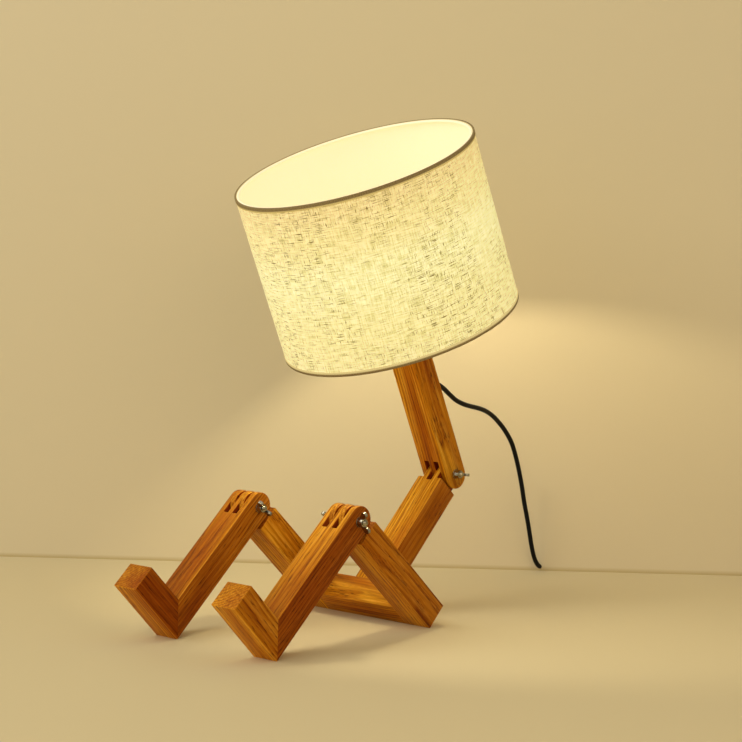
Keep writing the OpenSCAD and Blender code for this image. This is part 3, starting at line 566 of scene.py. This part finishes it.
def turned(profile, sides):
    """Rings of points (r cos a, r sin a, z) about the z axis from a profile of (r, z) pairs."""
    profile, a = np.asarray(profile, float), np.arange(sides) * tau / sides
    r, z = profile[:, 0, None], np.broadcast_to(profile[:, 1, None], (len(profile), sides))
    return np.stack([r * np.cos(a), r * np.sin(a), z], 2)


def run_of(rings):
    """Length along the first column of a looped set of rings, with the closing step."""
    steps = np.linalg.norm(np.diff(np.vstack([rings[:, 0], rings[:1, 0]]), axis=0), axis=1)
    return np.r_[0, np.cumsum(steps)]


outside = turned([(sleeve_r, sleeve_low), (sleeve_r, collar_low), (collar_r - edge, collar_low),
                  (collar_r, collar_low + edge), (collar_r, collar_high - edge),
                  (collar_r - edge, collar_high), (sleeve_r, collar_high),
                  (sleeve_r, neck_low)], sleeve_sides)
neck = thread(neck_low, sleeve_high, sleeve_r, pitch=0.003, depth=0.0009, sides=sleeve_sides,
              per_turn=10, chamfer=0.0012)
inside = turned([(mouth_r, sleeve_high), (mouth_r, sleeve_high - lip),
                 (sleeve_r - sleeve_t, sleeve_high - lip), (sleeve_r - sleeve_t, sleeve_low)],
                sleeve_sides)
sleeve_rings = np.concatenate([outside, neck[1:], inside])
sleeve = wrapped("holder_sleeve_threaded", on_chest(sleeve_rings), phenolic, run_of(sleeve_rings),
                 np.linspace(0, tau * sleeve_r, sleeve_sides + 1), looped=True)
fitted(sleeve, "holder_sleeve")

# ---- Bulb ----
# A round LED bulb: an opal plastic globe over a small board of light sources, on an aluminium
# screw cap that is rolled with a knuckle thread. It is on.

# Opal diffuser: milky, satin, and glowing evenly
opal = mottled("opal_diffuser", 60, 2, [(0.3, "#f2ead6"), (0.7, "#fbf5e6")], IOR=1.49,
               Roughness=0.35, Emission_Color=linear("#fff0cc"), Emission_Strength=1.6)
finished("bulb_globe", opal)

# Aluminium sheet, rolled and washed: pale grey and satin, duller in patches of 2 mm
rolled = mottled("rolled_aluminium", 500, 3, None, [(0.3, "#5c5c5c"), (0.7, "#808080")],
                 Metallic=1.0, Base_Color=linear("#cfd0d2"))
bulb_low, cap_r, cap_t, foot_r, cap_sides = chest_top + 0.0245, 0.013, 0.0011, 0.007, 72
knuckle_low, knuckle_high = bulb_low + 0.0045, bulb_low + 0.026
shell = turned([(foot_r, bulb_low + 0.0016), (0.0105, bulb_low + 0.0035)], cap_sides)
knuckles = thread(knuckle_low, knuckle_high, cap_r, pitch=0.00362, depth=0.0009, sides=cap_sides,
                  per_turn=12)
# The thread tapers by 3 parts in 100 over its first 2 mm
knuckles[..., :2] *= 1 - 0.03 * np.clip(1 - (knuckles[..., 2:] - knuckle_low) / 0.002, 0, 1)
lining = turned([(cap_r - cap_t, knuckle_high), (cap_r - cap_t, bulb_low + 0.0056),
                 (foot_r, bulb_low + 0.0026)], cap_sides)
cap_rings = np.concatenate([shell, knuckles, lining])
cap = wrapped("bulb_screw_cap_rolled", on_chest(cap_rings), rolled, run_of(cap_rings),
              np.linspace(0, tau * cap_r, cap_sides + 1), looped=True, sharp=60)
fitted(cap, "bulb_screw_cap")
finished("bulb_foot_contact", brass, 0.0004)

# White solder mask over the aluminium board, with a faint mottling 1.2 mm apart
mask = mottled("white_solder_mask", 800, 2, [(0.3, "#dcdad2"), (0.7, "#efeee8")],
               IOR=1.5, Roughness=0.4)
finished("bulb_light_board", mask, 0.0002)

# ---- Shade frame ----
# Two rings of 3 mm steel wire hold the drum round, and three spokes carry the lower ring from the
# fitter. All of it is welded and powder coated in white. The upper ring is the one that shows, so
# it is sleeved in the liner's laminate.

# Powder coat: white, satin, with a fine orange-peel 0.7 mm apart
powder = mottled("white_powder_coat", 1400, 2, [(0.3, "#ddd9cc"), (0.7, "#ebe8de")],
                 relief=(0.2, 0.0001), IOR=1.5, Roughness=0.45)
finished("shade_spider", powder)
finished("shade_bottom_wire", powder)

# ---- Drum shade ----
# Natural linen laminated to a stiff cream liner, rolled into a drum and lapped by 10 mm at the
# back. A woven tape is folded over each rim and glued round the wire.

rim_low, rim_high, tape_t = 0.172, 0.352, 0.0005
linen_r, liner_r, drum_in = 0.1245, 0.1239, 0.1234
drum_low, drum_high, drum_sides = rim_low + tape_t, rim_high - tape_t, 288
drum_tall, linen_len, lap_w, lap_edge = drum_high - drum_low, 0.792, 0.010, 0.0006
lap_t, glue_gap = 0.0003, 0.00002
drum_round = np.linspace(0, tau * linen_r, drum_sides + 1)
drum_angle = np.arange(drum_sides) * tau / drum_sides


def drum(outer, inner, lap):
    """Rings of a closed drum wall: up the outer radius and down the inner one.

    At the back, the outer radius is lifted by lap over lap_w, with slopes lap_edge wide.
    """
    rise, fall = np.linspace(drum_low, drum_high, 25), np.linspace(drum_high, drum_low, 13)
    walls = turned([(outer, z) for z in rise] + [(inner, z) for z in fall], drum_sides)
    from_back = np.abs((drum_angle - pi / 2 + pi) % tau - pi) * outer
    lifted = np.clip(((lap_w + lap_edge) / 2 - from_back) / lap_edge, 0, 1)
    walls[:len(rise), :, :2] *= 1 + lap / outer * lifted[:, None]
    return walls


def drum_wall(name, walls, material, node):
    """A drum wall in place of its CAD node; UV runs round it and up it, in metres."""
    along = np.r_[walls[:, 0, 2], walls[0, 0, 2]] - drum_low
    return fitted(wrapped(name, on_chest(walls), material, along, drum_round, looped=True), node)


# Slubbed linen, lit from inside: pale yellow, with olive-brown flecks where thick threads stop the
# light. Threads are 0.8 mm apart and are drawn at 1.2 mm to show. Flecks are 0.7 mm thin and 12 mm
# long round the drum; the upright ones are shorter and rarer, and both gather in patches of 70 mm.
# It glows most beside the bulb, and each spoke of the frame leaves a short, slanted shadow over
# the lower rim.
linen, tree, shader = finish("slubbed_linen", Roughness=0.9, IOR=1.45, Specular_IOR_Level=0.15,
                             Sheen_Weight=0.1, Emission_Strength=0.62)
place = add(tree, "TexCoord").outputs["UV"]
threads, slubs = [], []
for thread_scale, slub_scale, rare in (((60, 830, 1), (85, 1500, 1), 0.0),
                                       ((830, 60, 1), (1500, 150, 1), 0.03)):
    laid = add(tree, "Mapping", {"Vector": place, "Scale": thread_scale}).outputs[0]
    threads.append(add(tree, "TexNoise", {"Vector": laid, "Scale": 1.0, "Detail": 2.0},
                       noise_dimensions="2D").outputs["Fac"])
    thick = add(tree, "Mapping", {"Vector": place, "Scale": slub_scale,
                                  "Location": (7.3, 2.1, 0)}).outputs[0]
    slub = add(tree, "TexNoise", {"Vector": thick, "Scale": 1.0, "Detail": 0.0},
               noise_dimensions="2D").outputs["Fac"]
    slubs.append(add(tree, "ValToRGB", {"Fac": slub},
                     [(0.64 + rare, "#000000"), (0.71 + rare, "#8c8c8c"),
                      (0.79 + rare, "#ffffff")]).outputs[0])
weave = add(tree, "Math", {0: threads[0], 1: threads[1]}, operation="ADD").outputs[0]
weave = add(tree, "Math", {0: weave, 1: 0.5}, operation="MULTIPLY").outputs[0]
spots = add(tree, "Math", {0: slubs[0], 1: slubs[1]}, operation="MAXIMUM").outputs[0]
gather = add(tree, "TexNoise", {"Vector": place, "Scale": 14.0, "Detail": 2.0},
             noise_dimensions="2D").outputs["Fac"]
crowd = add(tree, "ValToRGB", {"Fac": gather}, [(0.35, "#a8a8a8"), (0.60, "#ffffff")]).outputs[0]
spots = add(tree, "Math", {0: spots, 1: crowd}, operation="MULTIPLY").outputs[0]
yarn = add(tree, "ValToRGB", {"Fac": weave},
           [(0.38, "#c6b993"), (0.50, "#d2c6a2"), (0.62, "#ded4b4")]).outputs[0]
yarn = add(tree, "Mix", {"Factor": spots, mix_a: yarn, mix_b: linear("#7e6e44")},
           data_type="RGBA").outputs[mix_out]
tree.links.new(yarn, shader.inputs["Base Color"])

# The shadow of a spoke: round_to is the way round from the first spoke, and to_spoke that from the
# nearest one. It ends 0.6 to 1.2 mm beside the spoke, and 11 to 14 mm above the rim.
spoke_turn, spokes, shadow_slant, shadow_w, shadow_tall = radians(12), 3, 0.25, 0.0025, 0.02
half_way = linen_r * tau / spokes / 2
axes = add(tree, "SeparateXYZ", {0: place})
round_to = add(tree, "Math", {0: axes.outputs["Y"], 1: shadow_slant, 2: axes.outputs["X"]},
               operation="MULTIPLY_ADD").outputs[0]
round_to = add(tree, "Math", {0: round_to, 1: spoke_turn * linen_r},
               operation="SUBTRACT").outputs[0]
to_spoke = add(tree, "Math", {0: round_to, 1: half_way}, operation="PINGPONG").outputs[0]
fades = []
for way, size, dark, clear in ((to_spoke, shadow_w, 0.22, 0.5),
                               (axes.outputs["Y"], shadow_tall, 0.55, 0.68)):
    share = add(tree, "Math", {0: way, 1: 1 / size}, operation="MULTIPLY").outputs[0]
    fades.append(add(tree, "ValToRGB", {"Fac": share},
                     [(dark, "#ffffff"), (clear, "#000000")]).outputs[0])
shadow = add(tree, "Math", {0: fades[0], 1: fades[1]}, operation="MULTIPLY").outputs[0]

height = add(tree, "Math", {0: axes.outputs["Y"], 1: 1 / drum_tall},
             operation="MULTIPLY").outputs[0]
near_bulb = add(tree, "ValToRGB", {"Fac": height},
                [(0.0, "#f0e69a"), (0.2, "#f6ed9c"), (0.55, "#fbf8b0"), (0.8, "#f2e18c"),
                 (0.95, "#e8cc78"), (1.0, "#d6b764")])
near_bulb.color_ramp.interpolation = "EASE"
glow = add(tree, "ValToRGB", {"Fac": weave},
           [(0.38, "#d6d8ae"), (0.5, "#f3f4e6"), (0.6, "#ffffff")]).outputs[0]
for amount, layer, blend in ((spots, linear("#6c5c28"), "MIX"), (shadow, linear("#927d4a"), "MIX"),
                             (1.0, near_bulb.outputs[0], "MULTIPLY")):
    glow = add(tree, "Mix", {"Factor": amount, mix_a: glow, mix_b: layer}, data_type="RGBA",
               blend_type=blend).outputs[mix_out]
tree.links.new(glow, shader.inputs["Emission Color"])
bump = add(tree, "Bump", {"Height": weave, "Strength": 0.3, "Distance": 0.0004})
tree.links.new(bump.outputs[0], shader.inputs["Normal"])
linen_drum = drum_wall("shade_linen_drum", drum(linen_r, liner_r + glue_gap, lap_t), linen,
                       "shade_linen")

# Liner: smooth cream laminate, matt, with a 1 mm haze; its glow is painted light from the bulb,
# brightest beside it
laminate, tree, shader = finish("cream_laminate", Roughness=0.6, IOR=1.5,
                                Emission_Strength=0.34)
place = add(tree, "TexCoord")
haze = add(tree, "TexNoise", {"Vector": place.outputs["Object"], "Scale": 900.0,
                              "Detail": 2.0}).outputs["Fac"]
haze = add(tree, "ValToRGB", {"Fac": haze}, [(0.3, "#dfd5b4"), (0.7, "#e6ddbf")])
tree.links.new(haze.outputs[0], shader.inputs["Base Color"])
height = add(tree, "SeparateXYZ", {0: place.outputs["UV"]}).outputs["Y"]
height = add(tree, "Math", {0: height, 1: 1 / drum_tall}, operation="MULTIPLY").outputs[0]
lit = add(tree, "ValToRGB", {"Fac": height},
          [(0.0, "#fdf0bc"), (0.55, "#fff6c8"), (1.0, "#fff5c2")])
lit.color_ramp.interpolation = "EASE"
tree.links.new(lit.outputs[0], shader.inputs["Emission Color"])
drum_wall("shade_liner_drum", drum(liner_r, drum_in, 0.0), laminate, "shade_liner")
# The top wire takes the laminate, and with it the painted glow of the bulb's light
finished("shade_top_wire", laminate)

# Woven tape: taupe cotton, mottled at 0.9 mm by its weave. It is folded over the wire, which stops
# the light: the fold is dark, while one layer of tape beside it lets some light through.
tape_out, tape_in, tape_w = 0.005, 0.003, 0.01


def cotton_tape(name, lit):
    """Taupe tape; lit are the stops of its glow, from its outer edge to its inner one."""
    tape, tree, shader = finish(name, Roughness=0.9, Specular_IOR_Level=0.1, Emission_Strength=0.7)
    place = add(tree, "TexCoord").outputs["UV"]
    laid = add(tree, "Mapping", {"Vector": place, "Scale": (1100, 1100, 1)}).outputs[0]
    rib = add(tree, "TexNoise", {"Vector": laid, "Scale": 1.0, "Detail": 2.0},
              noise_dimensions="2D").outputs["Fac"]
    taupe = add(tree, "ValToRGB", {"Fac": rib}, [(0.3, "#7a673f"), (0.7, "#a08b5e")])
    tree.links.new(taupe.outputs[0], shader.inputs["Base Color"])
    over = add(tree, "SeparateXYZ", {0: place}).outputs["Y"]
    over = add(tree, "Math", {0: over, 1: 1 / tape_w}, operation="MULTIPLY").outputs[0]
    glow = add(tree, "ValToRGB", {"Fac": over}, lit)
    tree.links.new(glow.outputs[0], shader.inputs["Emission Color"])
    bump = add(tree, "Bump", {"Height": rib, "Strength": 0.4, "Distance": 0.0003})
    tree.links.new(bump.outputs[0], shader.inputs["Normal"])
    return tape


inner_glow = [(0.72, "#000000"), (0.78, "#f4e6ac"), (1.0, "#fff3bc")]
low_cotton = cotton_tape("taupe_cotton_tape_low",
                         [(0.20, "#ddca88"), (0.34, "#000000")] + inner_glow)
high_cotton = cotton_tape("taupe_cotton_tape_high",
                          [(0.14, "#cdb66c"), (0.25, "#000000")] + inner_glow)
fold = [(linen_r, tape_out), (linen_r + 0.0004, tape_out + 0.00005),
        (linen_r + tape_t, tape_out - 0.0002), (linen_r + tape_t, 0.003),
        (linen_r + tape_t, 0.0006), (linen_r + 0.0003, 0.00015), (linen_r - 0.0002, 0),
        (drum_in + 0.0002, 0), (drum_in - 0.0003, 0.00015), (drum_in - tape_t, 0.0006),
        (drum_in - tape_t, tape_in - 0.0002), (drum_in, tape_in), (drum_in, tape_t),
        (linen_r, tape_t)]


def binding(name, node, rim, way, material):
    """The tape's folded profile carried round a rim; its outer edge wanders by 0.2 mm.

    The edge, the profile's first three points, follows two sine waves, 7 and 19 in a turn.
    """
    folded = turned(fold, drum_sides)
    folded[:3, :, 2] += (0.00012 * np.sin(7 * drum_angle + rim * 90)
                         + 0.00008 * np.sin(19 * drum_angle + 2))
    folded[..., 2] = rim + way * folded[..., 2]
    over = run_of(folded)
    if way > 0:
        folded, over = folded[::-1], np.r_[over[-2::-1], over[-1]]
    return fitted(wrapped(name, on_chest(folded), material, over, drum_round, looped=True), node)


low_tape = binding("rim_binding_bottom_tape", "rim_binding_bottom", rim_low, 1, low_cotton)
high_tape = binding("rim_binding_top_tape", "rim_binding_top", rim_high, -1, high_cotton)

# ---- Lead guard and inner lead ----
# A ribbed rubber sleeve is pushed into the slanted bore at the back of the upper torso, and the
# lead passes through it and up the bar's bore into the holder.

# Natural rubber, black: matt, with a faint bloom in patches of 2.5 mm
rubber = mottled("black_rubber", 400, 3, [(0.3, "#121212"), (0.7, "#262524")],
                 Roughness=0.6, IOR=1.52)
guard_in, guard_r, nose_r, guard_bore, guard_sides = 0.010, 0.0045, 0.0034, lead_r + 0.0001, 48
rib_deep, rib_apart, ribs_low, ribs_high = 0.00028, 0.0028, 0.0008, guard_out - 0.0006

# The guard narrows along t, the way out of the bore. The grooves between its ribs are the crests
# of a sine wave, cut flat.
t = np.r_[-guard_in, -0.0002, 0.0002, np.linspace(ribs_low, guard_out, 57)]
crests = np.clip(3 * np.sin(t / rib_apart * tau - pi / 2), 0, 1)
grooves = rib_deep * crests * (t > ribs_low) * (t < ribs_high)
r = np.where(t <= 0, guard_r, guard_r + (nose_r - guard_r) * t / guard_out) - grooves
sleeved = turned([*zip(r, t), (guard_bore, guard_out), (guard_bore, -guard_in)], guard_sides)
out_way, over_way = np.array((0, cos(slant), -sin(slant))), np.array((0, sin(slant), cos(slant)))
placed = (np.array((0, exit_y, exit_z)) + sleeved[..., 2:] * out_way + sleeved[..., :1] * over_way
          + sleeved[..., 1:2] * np.cross(out_way, over_way))
guard = wrapped("lead_guard_ribbed", on_chest(placed), rubber, run_of(placed),
                np.linspace(0, tau * guard_r, guard_sides + 1), looped=True)
fitted(guard, "lead_guard")

# The inner lead follows the slanted bore, turns where it meets the upright one, and climbs
meet, inner_step = exit_z + exit_y, 0.003
inner = [(exit_y + k * cos(slant), exit_z - k * sin(slant)) for k in (guard_out, 0.006, 0, -0.008)]
inner += [(0.0034, meet - 0.0042), (0.0011, meet + 0.0008), (0, meet + 0.006)]
inner += [(0, meet + rise) for rise in (0.020, 0.038, 0.054)] + [(0, chest_top + 0.010)]
inner = spline(on_chest([(0, y, z) for y, z in inner]), inner_step)
inner_lead = wrapped("inner_lead_sheath", tube(inner, lead_r, lead_sides), sheath,
                     np.arange(len(inner)) * inner_step, lead_round)
fitted(inner_lead, "inner_lead")

# ---- Coil tie, switch and plug ----
# A hook-and-loop strap holds the spare turns. The switch is a two-part moulded housing, screwed
# from below, with a rocker on its top; the plug is one overmoulding round two round pins.

# Hook-and-loop strap: black nylon, with a dense short pile 0.6 mm apart
nylon = mottled("black_nylon_loop", 1600, 3, [(0.35, "#0d0d0d"), (0.65, "#2b2b2b")],
                relief=(0.8, 0.0004), Roughness=0.95, Sheen_Weight=0.5)

# Moulded ABS: black, spark-eroded to a matt grain of 0.5 mm
moulded = mottled("black_abs_grained", 2200, 2, [(0.3, "#141414"), (0.7, "#232323")],
                  relief=(0.35, 0.0002), IOR=1.53, Roughness=0.5)

# Nickel-plated brass pins: bright, slightly warm, scuffed along their length in lines 0.3 mm apart
nickel = mottled("nickel_plated_brass", 1, 2, [(0.3, "#c9c4b6"), (0.7, "#e0dccf")],
                 [(0.3, "#3a3a3a"), (0.7, "#666666")], stretch=(3000, 90, 3000), Metallic=1.0)

on_lead = [finished("coil_tie", nylon, 0.0003),
           finished("switch_base", moulded, 0.0006, angle=50),
           finished("switch_cover", moulded, 0.0006, angle=50),
           finished("switch_rocker", moulded, 0.0005, 3),
           finished("switch_screws", zinc, 0.0002),
           finished("switch_terminals", brass, 0.0002),
           finished("plug_body", rubber, 0.0012, 3, angle=40),
           finished("plug_pins", nickel, 0.0003)]

# ---- Room ----
# A pale table top with a plain wall close behind it: the wall stands on the table just in front
# of the spare lead. Both are matt paint in a warm cream. The wall is seen from its front only.

room = 3
paint = finish("matt_cream_paint_floor", Base_Color=linear("#ccbb8e"), Roughness=0.62,
               Specular_IOR_Level=0.25)[0]
floor = surface("floor", [(-room, -room, 0), (room, -room, 0), (room, room, 0), (-room, room, 0)],
                [[0, 1, 2, 3]], paint)

# Painted shade in the corner with the table: the wall is darker over its lowest 5 mm, about half
# of the 10 mm scale below
corner_shade_height = 0.01
wall_paint, tree, shader = finish("matt_cream_paint_wall", Roughness=0.9,
                                  Specular_IOR_Level=0.1)
place = add(tree, "TexCoord").outputs["Object"]
height = add(tree, "SeparateXYZ", {0: place}).outputs["Z"]
height = add(tree, "Math", {0: height, 1: 1 / corner_shade_height}, operation="MULTIPLY").outputs[0]
cream = add(tree, "ValToRGB", {"Fac": height}, [(0.05, "#bba774"), (0.55, "#d4c49b")])
tree.links.new(cream.outputs[0], shader.inputs["Base Color"])
facing = add(tree, "NewGeometry").outputs["Backfacing"]
clear = add(tree, "BsdfTransparent").outputs[0]
one_sided = add(tree, "MixShader", {0: facing, 1: shader.outputs[0], 2: clear})
tree.links.new(one_sided.outputs[0], tree.nodes["Material Output"].inputs["Surface"])
wall_turn, wall_at, wall_up = radians(33.9), Vector((-0.0412, 0.3685, 0)), Vector((0, 0, room))
wall_way = Vector((cos(wall_turn), sin(wall_turn), 0))
foot = [wall_at - room * wall_way, wall_at + room * wall_way]
wall = surface("wall", [*foot, foot[1] + wall_up, foot[0] + wall_up], [[0, 1, 2, 3]], wall_paint)

world = bpy.data.worlds.new("room")
bpy.context.scene.world = world
world.use_nodes = True
world.node_tree.nodes["Background"].inputs["Color"].default_value = linear("#ffffff")
world.node_tree.nodes["Background"].inputs["Strength"].default_value = 0.66


def soft_box(name, place, aim, size, watts, code):
    """A square area light at place that looks at aim."""
    light = bpy.data.lights.new(name, "AREA")
    light.size, light.energy, light.color = size, watts, linear(code)[:3]
    lamp = bpy.data.objects.new(name, light)
    lamp.location = place
    lamp.rotation_euler = (Vector(aim) - Vector(place)).to_track_quat("-Z", "Y").to_euler()
    bpy.context.scene.collection.objects.link(lamp)
    return lamp


soft_box("key", (-1.15, -2.05, 2.12), (0, 0, 0.2), size=1.9, watts=37, code="#ffffff")
soft_box("fill", (1.9, -0.9, 1.2), (0, 0, 0.2), size=1.2, watts=8, code="#ffdba6")

# The table throws light back at the under sides of the bars. A weak lamp just above it, for the
# bars alone, adds to that.
bounce = soft_box("bounce", (0.30, -1.40, 0.16), (0, 0, 0.1), size=0.3, watts=3, code="#ffd79c")
bounce.visible_camera = False
bounce.light_linking.receiver_collection = bpy.data.collections.new("bars")
for node in bars:
    bounce.light_linking.receiver_collection.objects.link(bpy.data.objects[node + "_finished"])

# The bulb's own light leaves the shade by both rims and falls on the wall, the table and the bars.
# The shade's pieces already glow, so this lamp leaves them out, and it shines through its globe.
bulb_lamp = bpy.data.lights.new("bulb", "POINT")
bulb_lamp.shadow_soft_size, bulb_lamp.energy = 0.022, 3.2
bulb_lamp.color = linear("#fff3d6")[:3]
lit_bulb = bpy.data.objects.new("bulb", bulb_lamp)
lit_bulb.location = on_chest((0, 0, chest_top + 0.080))
lit_bulb.parent = bpy.data.objects["bulb_globe_finished"]
bpy.context.scene.collection.objects.link(lit_bulb)
linking = lit_bulb.light_linking
linking.receiver_collection = bpy.data.collections.new("glowing_pieces")
linking.blocker_collection = bpy.data.collections.new("globe")
for names, kept in ((("shade_linen_drum", "shade_liner_drum", "rim_binding_bottom_tape",
                      "rim_binding_top_tape", "shade_spider_finished",
                      "shade_bottom_wire_finished", "shade_top_wire_finished",
                      "bulb_globe_finished"), linking.receiver_collection),
                    (("bulb_globe_finished",), linking.blocker_collection)):
    for name in names:
        kept.objects.link(bpy.data.objects[name])
    for entry in kept.collection_objects:
        entry.light_linking.link_state = "EXCLUDE"
